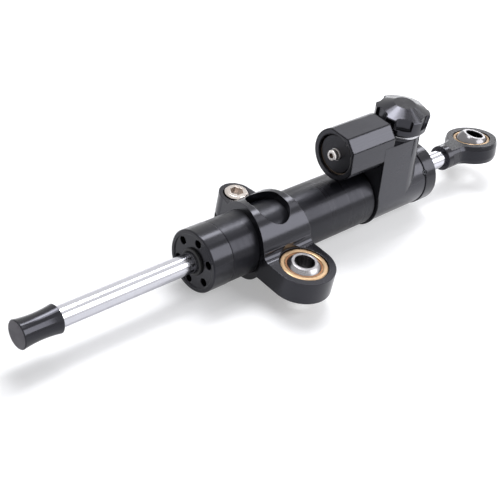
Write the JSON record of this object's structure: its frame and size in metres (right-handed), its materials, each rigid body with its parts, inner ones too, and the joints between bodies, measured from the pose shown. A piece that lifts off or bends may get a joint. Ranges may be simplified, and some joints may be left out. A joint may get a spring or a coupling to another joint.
{
  "type": "steering damper",
  "caption": "Linear hydraulic steering damper: through-rod tube, split clamp with ball bearing, valve block with reservoir and knob, rod end.",
  "frame": {"origin": "centre of the ball in the clamp's bearing", "axes": "+X along the damper from the rod cap to the rod end, +Z along the clamp bearing's bore, up on the knob's side, +Y from the bearing towards the tube"},
  "size_m": [0.2572, 0.0609, 0.0553],
  "materials": {
    "anodised_tube": "satin black anodised, turned",
    "anodised_gloss": "gloss black anodised, turned",
    "anodised_satin": "satin black anodised, milled",
    "anodised_clamp": "satin black anodised, milled",
    "chrome": "hard chrome, ground and polished",
    "ball_steel": "polished bearing steel",
    "screw_steel": "bright stainless",
    "ground_steel": "ground steel",
    "bright_aluminium": "bright turned aluminium",
    "brass": "polished brass",
    "bronze": "bearing bronze",
    "copper_wire": "copper-coated spring wire",
    "rubber": "matt black nitrile rubber",
    "ptfe": "bronze-filled PTFE"
  },
  "bodies": {
    "damper": {"tube": "anodised_tube", "inner_cylinder": "ground_steel", "front_gland": "anodised_gloss", "rear_gland": "anodised_gloss", "gland_o_rings": "rubber", "guide_bushes": "bronze", "rod_seals": "rubber", "rod_wipers": "rubber", "rear_gland_screw": "screw_steel", "valve_block": "anodised_satin", "reservoir_cap": "anodised_satin", "reservoir_cap_o_ring": "rubber", "reservoir_snap_ring": "copper_wire", "fill_screw": "screw_steel", "fill_screw_washer": "bright_aluminium", "valve_sleeve": "bright_aluminium", "detent_ball": "ball_steel", "detent_spring": "ground_steel", "clamp": "anodised_clamp", "clamp_bolt": "screw_steel", "clamp_race": "brass"},
    "piston_group": {"piston": "bright_aluminium", "piston_ring": "ptfe"},
    "rod_group": {"rod": "chrome", "piston_circlips": "ground_steel", "rod_cap": "anodised_gloss", "rod_end": "anodised_gloss", "rod_end_race": "brass"},
    "clamp_liner": {"clamp_liner": "bronze"},
    "clamp_ball": {"clamp_ball": "ball_steel"},
    "rod_end_liner": {"rod_end_liner": "bronze"},
    "rod_end_ball": {"rod_end_ball": "ball_steel"},
    "knob": {"knob": "anodised_gloss", "knob_screw": "ground_steel"},
    "needle_valve": {"needle_valve": "brass", "needle_o_ring": "rubber"},
    "floating_piston": {"floating_piston": "bright_aluminium", "floating_piston_o_ring": "rubber"}
  },
  "joints": [
    {"name": "rod_slide", "type": "slide", "parent": "damper", "child": "piston_group", "axis": [1, 0, 0], "range_m": [-0.017, 0.052]},
    {"name": "rod_turn", "type": "hinge", "parent": "piston_group", "child": "rod_group", "pos_m": [0.0926, 0.0247, 0.00265], "axis": [1, 0, 0], "continuous": true},
    {"name": "clamp_swivel", "type": "hinge", "parent": "damper", "child": "clamp_liner", "pos_m": [0, 0, 0], "axis": [0, 0, 1], "continuous": true},
    {"name": "clamp_tilt", "type": "hinge", "parent": "clamp_liner", "child": "clamp_ball", "pos_m": [0, 0, 0], "axis": [1, 0, 0], "range_deg": [-13, 13]},
    {"name": "rod_end_swivel", "type": "hinge", "parent": "rod_group", "child": "rod_end_liner", "pos_m": [0.1339, 0.0247, 0.00265], "axis": [0, 0.2011, 0.9796], "continuous": true},
    {"name": "rod_end_tilt", "type": "hinge", "parent": "rod_end_liner", "child": "rod_end_ball", "pos_m": [0.1339, 0.0247, 0.00265], "axis": [0.6428, 0.7504, -0.154], "range_deg": [-25, 1]},
    {"name": "knob_turn", "type": "hinge", "parent": "damper", "child": "knob", "pos_m": [0.0719, 0.0247, 0.03095], "axis": [0, 0, 1], "range_deg": [-360, 360]},
    {"name": "needle_lift", "type": "slide", "parent": "knob", "child": "needle_valve", "axis": [0, 0, 1], "range_m": [-0.00075, 0.00075]},
    {"name": "reservoir_float", "type": "slide", "parent": "damper", "child": "floating_piston", "axis": [1, 0, 0], "range_m": [-0.003, 0.003]}
  ],
  "couplings": [
    {"joint": "needle_lift", "follows": "knob_turn", "m_per_rad": 0.00011937}
  ]
}
